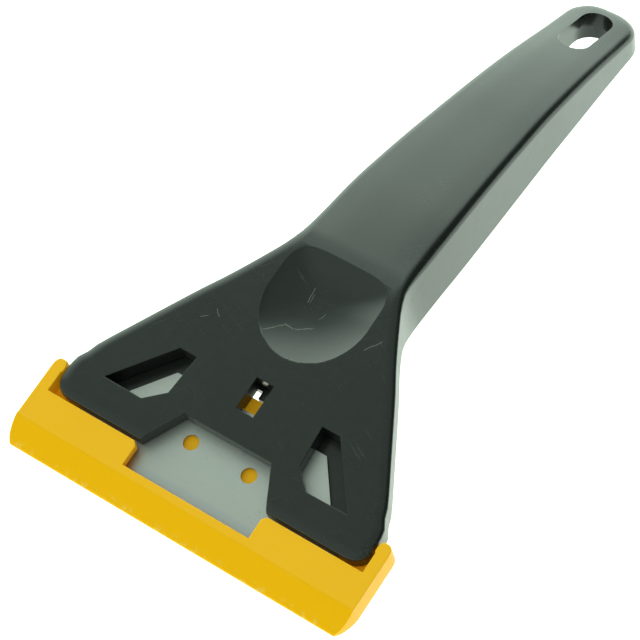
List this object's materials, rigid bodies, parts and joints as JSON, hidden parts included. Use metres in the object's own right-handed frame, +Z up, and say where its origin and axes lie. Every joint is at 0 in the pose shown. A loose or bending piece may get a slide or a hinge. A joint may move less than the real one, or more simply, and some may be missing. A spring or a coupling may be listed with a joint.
{
  "type": "blade scraper",
  "caption": "Painter's glass and paint scraper: black plastic handle with a flared head that holds a trapezoid steel blade, covered by a yellow push-on blade guard.",
  "frame": {"origin": "middle of the bounding box at its lowest height, on the table the tool lies on", "axes": "+Y along the handle towards the hang slot, +X across the blade, +Z up; X = 0 is the mirror plane"},
  "size_m": [0.0706, 0.1508, 0.0202],
  "materials": {
    "black_plastic": "moulded gloss black with fine scratches",
    "black_plastic_under": "moulded satin black",
    "blade_steel": "ground steel, finer ground strip along the edge",
    "yellow_plastic": "moulded yellow, slightly translucent"
  },
  "bodies": {
    "handle": {"handle_upper_shell": "black_plastic", "handle_lower_shell": "black_plastic_under"},
    "blade": {"blade": "blade_steel"},
    "guard": {"blade_guard": "yellow_plastic"}
  },
  "joints": [
    {"name": "blade_slide", "type": "slide", "parent": "handle", "child": "blade", "axis": [0, -0.9626, -0.2708], "range_m": [0, 0.025]},
    {"name": "guard_slide", "type": "slide", "parent": "blade", "child": "guard", "axis": [0, -0.9626, -0.2708], "range_m": [0, 0.03]}
  ]
}
